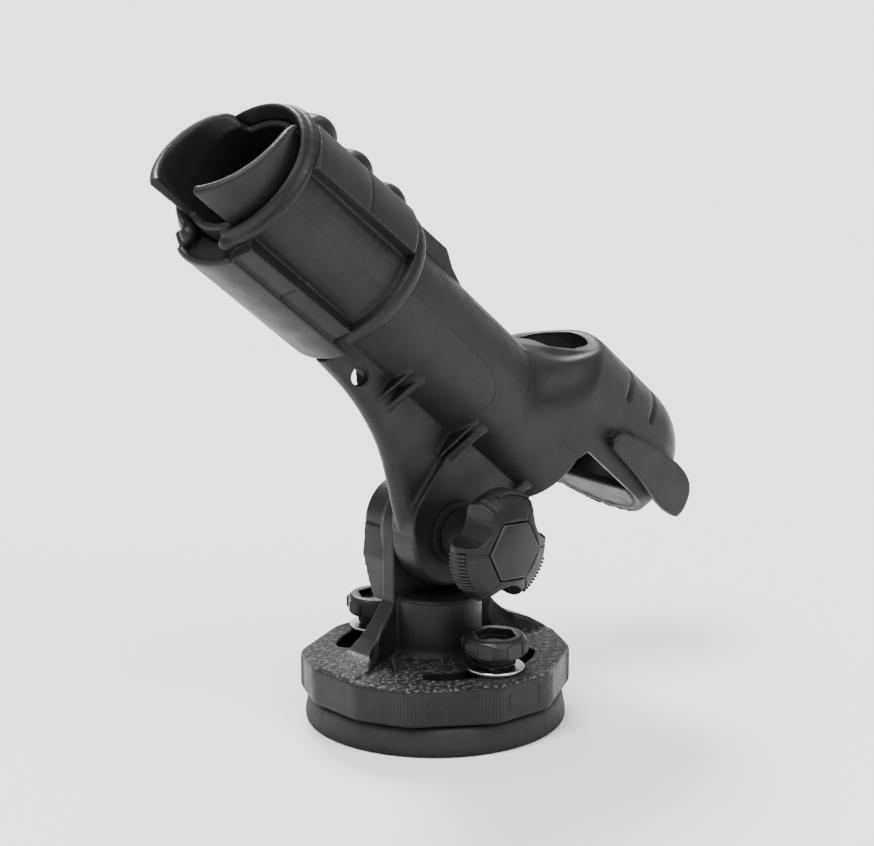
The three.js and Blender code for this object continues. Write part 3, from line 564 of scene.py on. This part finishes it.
body_black = nylon("body_black", 0.0065)
yoke_black = nylon("yoke_black", 0.0065, top=0.0274)
disc_grey = nylon("disc_grey", 0.016, rough=(0.46, 0.62), grain=0.55, specular=0.32)
nut_black = nylon("nut_black", 0.007, rough=(0.28, 0.42), grain=0.5, specular=0.3)
cap_black = nylon("cap_black", 0.008, rough=(0.34, 0.48), grain=0.35)
ring_black = nylon("ring_black", 0.005, rough=(0.45, 0.6), grain=0.4, specular=0.25)
bright_steel = steel("bright_steel")
brass = steel("brass", (0.66, 0.5, 0.24), (0.24, 0.42))

# ---- Camera, floor and light ----
AZIMUTH, ELEVATION = math.radians(-41.15), math.radians(14.25)
BACK = Vector((math.sin(AZIMUTH) * math.cos(ELEVATION), -math.cos(AZIMUTH) * math.cos(ELEVATION),
               math.sin(ELEVATION)))
AIM = Vector((0.0005, -0.0004, 0.1172))
camera = bpy.data.objects.new("camera", bpy.data.cameras.new("camera"))
camera.data.lens = 116.6
camera.data.sensor_width = 36
camera.data.clip_start = 0.05
camera.location = AIM + BACK * 1.0837
camera.rotation_euler = (-BACK).to_track_quat("-Z", "Y").to_euler()
scene.collection.objects.link(camera)
scene.camera = camera


FLOOR_HALF_SIDE = 9          # metres
FLOOR_DROP = 0.0002


def floor():
    mesh = bpy.data.meshes.new("floor")
    r = FLOOR_HALF_SIDE
    mesh.from_pydata([(-r, -r, 0), (r, -r, 0), (r, r, 0), (-r, r, 0)], [], [(0, 1, 2, 3)])
    material, tree, shader, place = nodes_of("floor_paper")
    tree.links.new(ramp(tree, noise(tree, place, 3, 2, 0.5), [(0.3, 0.92), (0.7, 0.935)]),
                   shader.inputs["Base Color"])
    shader.inputs["Roughness"].default_value = 0.9
    shader.inputs["Specular IOR Level"].default_value = 0.1
    mesh.materials.append(material)
    plane = bpy.data.objects.new("floor", mesh)
    scene.collection.objects.link(plane)
    plane.location.z = -FLOOR_DROP


def sun(name, azimuth, elevation, strength, spread):
    light = bpy.data.lights.new(name, "SUN")
    light.energy = strength
    light.angle = math.radians(spread)
    lamp = bpy.data.objects.new(name, light)
    a, e = math.radians(azimuth), math.radians(elevation)
    way = Vector((math.sin(a) * math.cos(e), -math.cos(a) * math.cos(e), math.sin(e)))
    lamp.rotation_euler = way.to_track_quat("Z", "Y").to_euler()
    scene.collection.objects.link(lamp)


floor()
world = bpy.data.worlds.new("studio")
scene.world = world
world.use_nodes = True
sky = next(n for n in world.node_tree.nodes if n.type == "BACKGROUND")
sky.inputs["Color"].default_value = (1, 1, 1, 1)
sky.inputs["Strength"].default_value = 0.82
sun("key", -80, 62, 3.0, 26)
sun("back", 150, 42, 4.2, 22)
sun("front", 5, 48, 1.6, 40)

# ---- Tube with its arm and hood ----
hood_lines = []
for along in (-30, -47):
    line = []
    for angle in np.linspace(-66, 66, 32):
        s = along - 5 * math.cos(math.radians(angle * 1.6))
        centre, radius = hood_section(np.array(s), 0)
        a = math.radians(angle)
        up = float(centre) + float(radius) * math.cos(a)
        line.append(from_tube((up, float(radius) * math.sin(a), s)))
    hood_lines.append((np.array(line), 1.6, 1.3))
moulding("rod_tube", "tube_moulding", body_black, "arm", "body_nylon", voxel=0.62, rounds=1,
         keep=0.22, shape=tube_shape, marks=hood_lines, bend=round_socket_rim, blend=socket_blend)

tube_lines = Strokes()
for mirror in (-1, 1):
    # Each line is given as (along the tube, angle from its top).
    panel = [(92, 83), (70, 83), (50, 83.4), (43, 84.5), (38, 87), (34.2, 90.2), (31.2, 95),
             (29.2, 101), (28.3, 107), (28.1, 114), (28.6, 121), (29.4, 127), (30.2, 131)]
    front_seam = [(93, 52), (86, 52.4), (80, 53)]
    rear_seam = [(54, 41), (40, 40.5), (28, 39.5), (18, 37), (12, 35)]
    for outline, sunk, radius in ((panel, 0.12, 0.36), (front_seam, 0.08, 0.22),
                                  (rear_seam, 0.08, 0.2)):
        tube_lines.bead([on_tube(TUBE_RADIUS - sunk, mirror * angle, s) for s, angle in outline],
                        radius)
tube_lines.piece("tube_lines", body_black, "arm", "body_nylon")

# ---- Collar ----
collar_marks = []
for angles, s in (((-68, -32), 131), ((32, 68), 131), ((-151, -139), 134), ((139, 151), 134)):
    drop = PAD_DROP * (s - PAD_REAR) / (PAD_FRONT - PAD_REAR)
    line = np.array([on_tube(PAD_RADIUS, a, s, drop) for a in np.linspace(*angles, 8)])
    collar_marks.append((line, 0.7, 0.5))
moulding("lock_collar", "collar_moulding", body_black, "collar", "body_nylon", voxel=0.5, rounds=1,
         keep=0.32, shape=collar_shape, marks=collar_marks)

collar_lines = Strokes()
for mirror in (-1, 1):
    for s in (112, 116, 120):
        collar_lines.bead([on_tube(27.65, mirror * a, s) for a in np.linspace(73, 80, 5)], 0.22)
    collar_lines.bead([on_tube(27.62, mirror * 101, s) for s in (106, 134, 158)], 0.16)
notch_bead = [on_tube(33.3, a, 159.6, PAD_DROP) for a in np.linspace(156, 204, 17)]
collar_lines.bead(notch_bead, 1.5, 14)
collar_lines.piece("collar_lines", body_black, "collar", "body_nylon")

# ---- Yoke ----
moulding("swivel_yoke", "yoke_moulding", yoke_black, "yoke", "body_nylon", voxel=0.52, rounds=1,
         keep=0.4, shape=yoke_shape)

CORNERS = [14, 38, 76, 104, 142, 166, 194, 218, 256, 284, 322, 346]
PLAIN_CORNERS = (14, 166, 194, 346)                 # without ribs
FLANGE_RADIUS, FLANGE_FAR_RADIUS = 52.8, 48.6
RIB_SPACING = 1.35


def flange_corner(index):
    angle = math.radians(CORNERS[index % len(CORNERS)])
    radius = FLANGE_FAR_RADIUS if math.sin(angle) > 0.9 else FLANGE_RADIUS
    return radius * np.array((math.cos(angle), math.sin(angle), 0))


flange_ribs = Strokes()
for index, angle in enumerate(CORNERS):
    if angle in PLAIN_CORNERS:
        continue
    here = flange_corner(index)
    before, after = flange_corner(index - 1), flange_corner(index + 1)
    start, end = here + 0.1 * (before - here), here + 0.1 * (after - here)
    path = [here + 0.4 * (before - here)]
    path += [(1 - t) ** 2 * start + 2 * t * (1 - t) * here + t * t * end
             for t in np.linspace(0, 1, 9)]
    path += [here + 0.4 * (after - here)]
    path = np.array(path)
    lengths = np.concatenate(([0], np.cumsum(np.linalg.norm(np.diff(path, axis=0), axis=1))))
    middle = lengths[5]
    for k in range(-4, 5):
        spot = np.array([np.interp(middle + RIB_SPACING * k, lengths, path[:, axis])
                         for axis in range(3)])
        spot -= 0.3 * spot / np.linalg.norm(spot)
        flange_ribs.bead([spot + (0, 0, z) for z in (13.8, 17, 21, 25.2)], 0.42, 8)
flange_ribs.piece("flange_ribs", yoke_black, "yoke", "body_nylon")

dish_ribs = Strokes()
for side in (-1, 1):
    for shift in (0, 2.6):
        dish_ribs.bead([(side * (25.6 + shift), -4.6 - shift, 30.2),
                        (side * (26.6 + shift), -7 - shift, 28.6),
                        (side * (28 + shift), -9.6 - shift, 27.2)], 0.7, 12)
column_top = [(17.85 * math.cos(a), 17.85 * math.sin(a), 50.3)
              for a in np.radians(np.linspace(192, 348, 40))]
dish_ribs.bead(column_top, 0.45)
dish_ribs.piece("dish_ribs", yoke_black, "yoke", "body_nylon")

# ---- Knob ----
knob_marks = []
for angle in range(-4, 356, 60):
    line = [on_knob(r, angle, h) for r, h in ((13.2, 45.1), (17.6, 43.2), (20.4, 40.8), (21.8, 37.5))]
    knob_marks.append((np.array(line), 0.75, 0.5))
moulding("knob_body", "knob_moulding", body_black, "knob", "body_nylon", voxel=0.34, rounds=1,
         keep=0.5, shape=knob_shape, marks=knob_marks)

knob_ribs = Strokes()
for lobe in (86, 206, 326):
    for k in range(-7, 4):
        angle = lobe + 4 * k
        rib = [on_knob(21.6, angle, h) for h in (33.2, 35.5, 37.5)]
        knob_ribs.bead(rib + [on_knob(21, angle, 40.2)], 0.6, 8)
knob_ribs.piece("knob_ribs", body_black, "knob", "body_nylon")


def bevelled(node, name, material, body, slot, width):
    """A copy of a CAD solid with its flats made whole and its edges bevelled."""
    piece = welded_copy(node, name)
    flat = piece.modifiers.new("flat", "DECIMATE")
    flat.decimate_type = "DISSOLVE"
    flat.angle_limit = math.radians(2)
    edge = piece.modifiers.new("bevel", "BEVEL")
    edge.width = width * MM
    edge.segments = 3
    edge.limit_method = "ANGLE"
    edge.angle_limit = math.radians(25)
    edge.harden_normals = True
    apply_modifiers(piece)
    shade_smooth(piece.data)
    dress(piece, material, body, slot, node)


bevelled("knob_cap", "knob_cap_bevelled", cap_black, "knob", "cap_plastic", 0.45)

# ---- Base disc, nuts and washers ----
moulding("base_disc", "disc_moulding", disc_grey, "base", "disc_nylon", voxel=0.8, rounds=2,
         keep=0.6, shape=disc_shape)

for side, y in (("near", -STUD_CIRCLE), ("far", STUD_CIRCLE)):
    moulding(f"thumb_nut_{side}", f"nut_{side}_moulding", nut_black, f"nut_{side}", "nut_plastic",
             voxel=0.4, rounds=2, keep=0.6)
    trim = Strokes()
    for z in (30.1, 31.9):
        trim.ring((0, y, z), (0, 0, 1), rounded(6.6, 8.1, -0.5, 0.5, 0.45), 72)
    for corner in range(6):
        for k in range(-3, 4):
            a = math.radians(60 * corner + 4.2 * k)
            spot = np.array((12.45 * math.cos(a), y + 12.45 * math.sin(a), 0))
            trim.bead([spot + (0, 0, z) for z in (35.2, 37, 38.8)], 0.42, 8)
    trim.piece(f"nut_{side}_trim", nut_black, f"nut_{side}", "nut_plastic")
    washer = Strokes()
    washer.ring((0, y, 27.15), (0, 0, 1), rounded(4.35, 11.4, 0, 1.6, 0.55, 6), 128)
    washer.piece(f"washer_{side}_turned", bright_steel, "base", "stainless", f"washer_{side}")
    stud = Strokes()
    turns = np.linspace(4.4, 34.8, 60)
    section = [(0.05, turns[0])]
    section += [(3.95 if k % 2 else 3.55, z) for k, z in enumerate(turns)]
    section += [(0.05, turns[-1])]
    stud.ring((0, y, 0), (0, 0, 1), section, 40)
    stud.piece(f"stud_{side}_threaded", bright_steel, "base", "stainless", f"stud_{side}")

# ---- CAD nodes that stay as they are, with a better material ----
KEPT_NODES = {
    "stud_insert_near": brass, "stud_insert_far": brass, "nut_insert_near": brass,
    "nut_insert_far": brass, "knob_insert": brass, "swivel_ring": ring_black,
    "arm_washer": ring_black, "pivot_bolt": bright_steel, "bolt_washer": bright_steel,
}
for node, material in KEPT_NODES.items():
    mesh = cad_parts[node].data
    mesh.materials.clear()
    mesh.materials.append(material)
